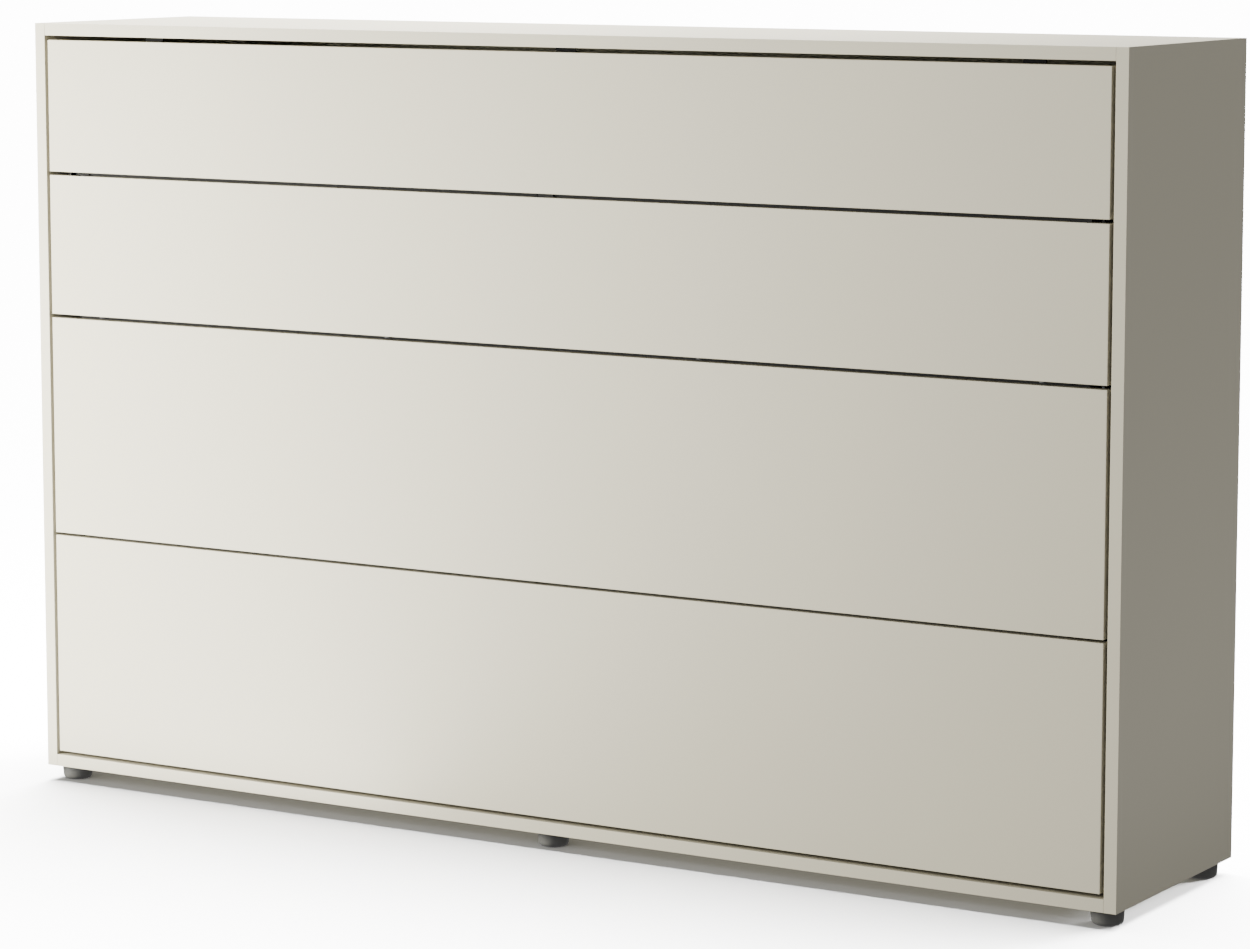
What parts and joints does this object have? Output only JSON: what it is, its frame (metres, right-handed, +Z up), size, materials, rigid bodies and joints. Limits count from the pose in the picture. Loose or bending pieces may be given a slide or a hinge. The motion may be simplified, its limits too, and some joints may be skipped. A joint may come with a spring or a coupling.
{
  "type": "wall bed",
  "caption": "Horizontal fold-down wall bed: lacquered cabinet on round feet, flush board front that hinges down on gas springs, with a flap that swings out as its leg.",
  "frame": {"origin": "on the floor, under the middle of the cabinet", "axes": "+X along the bed's length, -Y out of the front, +Z up"},
  "size_m": [2.17, 0.46, 1.4],
  "materials": {
    "greige_lacquer": "satin",
    "back_board": "matte",
    "beech": "matte",
    "birch": "satin",
    "dark_powder_coat": "matte",
    "dark_plastic": "satin",
    "grey_plastic": "satin",
    "pale_plastic": "satin",
    "rubber": "matte",
    "black_painted_steel": "satin",
    "chrome": "polished",
    "zinc_steel": "satin"
  },
  "bodies": {
    "cabinet": {"top_panel": "greige_lacquer", "bottom_panel": "greige_lacquer", "left_side_panel": "greige_lacquer", "right_side_panel": "greige_lacquer", "upper_rear_rail": "greige_lacquer", "lower_rear_rail": "greige_lacquer", "back_panels": "back_board", "back_joint_strips": "pale_plastic", "back_panel_screws": "zinc_steel", "carcass_dowels": "beech", "cam_locks": "zinc_steel", "cam_bolts": "zinc_steel", "feet": "grey_plastic", "foot_screws": "zinc_steel", "closing_stops": "dark_powder_coat", "stop_buffers": "rubber", "pivot_brackets": "zinc_steel", "bed_pivot_pins": "zinc_steel", "link_pivot_pins": "zinc_steel", "gas_spring_brackets": "zinc_steel", "bracket_screws": "zinc_steel"},
    "bed": {"bed_bottom_rail": "dark_powder_coat", "bed_top_rail": "dark_powder_coat", "bed_left_upright": "dark_powder_coat", "bed_centre_upright": "dark_powder_coat", "bed_right_upright": "dark_powder_coat", "bed_left_mid_rail": "dark_powder_coat", "bed_right_mid_rail": "dark_powder_coat", "bed_flap_rails": "dark_powder_coat", "tube_plugs": "dark_plastic", "rail_end_caps": "dark_plastic", "frame_bolts": "zinc_steel", "top_front_board": "greige_lacquer", "middle_front_board": "greige_lacquer", "bottom_front_board": "greige_lacquer", "front_board_spacers": "dark_plastic", "front_board_screws": "zinc_steel", "slats": "birch", "slat_holders": "dark_plastic", "mattress_bows": "dark_powder_coat", "bearing_plates": "zinc_steel", "pivot_bushes": "pale_plastic", "plate_bolts": "zinc_steel", "gas_spring_studs": "zinc_steel", "leg_hinge_arms": "dark_powder_coat", "hinge_arm_screws": "dark_powder_coat", "leg_bumpers": "rubber"},
    "leg": {"leg_flap": "greige_lacquer", "leg_hinge_blocks": "zinc_steel", "leg_hinge_pins": "zinc_steel", "leg_horns": "zinc_steel", "leg_glides": "rubber", "leg_screws": "zinc_steel"},
    "left_link": {"left_leg_link": "zinc_steel"},
    "left_cylinder": {"left_gas_spring_cylinder": "black_painted_steel"},
    "left_rod": {"left_gas_spring_rod": "chrome"},
    "right_link": {"right_leg_link": "zinc_steel"},
    "right_cylinder": {"right_gas_spring_cylinder": "black_painted_steel"},
    "right_rod": {"right_gas_spring_rod": "chrome"}
  },
  "joints": [
    {"name": "bed_tilt", "type": "hinge", "parent": "cabinet", "child": "bed", "pos_m": [0, -0.192, 0.276], "axis": [1, 0, 0], "range_deg": [0, 90], "stiffness_Nm_per_rad": 124, "springref_deg": -44.69},
    {"name": "leg_fold", "type": "hinge", "parent": "bed", "child": "leg", "pos_m": [0, -0.221, 1.1145], "axis": [1, 0, 0], "range_deg": [-90, 0]},
    {"name": "left_link_swing", "type": "hinge", "parent": "cabinet", "child": "left_link", "pos_m": [0, -0.152, 0.316], "axis": [1, 0, 0], "range_deg": [0, 90]},
    {"name": "left_gas_spring_swing", "type": "hinge", "parent": "cabinet", "child": "left_cylinder", "pos_m": [0, 0.06, 0.644], "axis": [1, 0, 0], "range_deg": [0, 13.64]},
    {"name": "left_gas_spring_stroke", "type": "slide", "parent": "left_cylinder", "child": "left_rod", "axis": [0, -0.4178, -0.9085], "range_m": [-0.2283, 0]},
    {"name": "right_link_swing", "type": "hinge", "parent": "cabinet", "child": "right_link", "pos_m": [0, -0.152, 0.316], "axis": [1, 0, 0], "range_deg": [0, 90]},
    {"name": "right_gas_spring_swing", "type": "hinge", "parent": "cabinet", "child": "right_cylinder", "pos_m": [0, 0.06, 0.644], "axis": [1, 0, 0], "range_deg": [0, 13.64]},
    {"name": "right_gas_spring_stroke", "type": "slide", "parent": "right_cylinder", "child": "right_rod", "axis": [0, -0.4178, -0.9085], "range_m": [-0.2283, 0]}
  ],
  "couplings": [
    {"joint": "leg_fold", "follows": "bed_tilt", "ratio": -1},
    {"joint": "left_link_swing", "follows": "bed_tilt", "ratio": 1},
    {"joint": "left_gas_spring_swing", "follows": "bed_tilt", "ratio": 0.15139},
    {"joint": "left_gas_spring_stroke", "follows": "bed_tilt", "m_per_rad": -0.14527},
    {"joint": "right_link_swing", "follows": "bed_tilt", "ratio": 1},
    {"joint": "right_gas_spring_swing", "follows": "bed_tilt", "ratio": 0.15139},
    {"joint": "right_gas_spring_stroke", "follows": "bed_tilt", "m_per_rad": -0.14527}
  ]
}
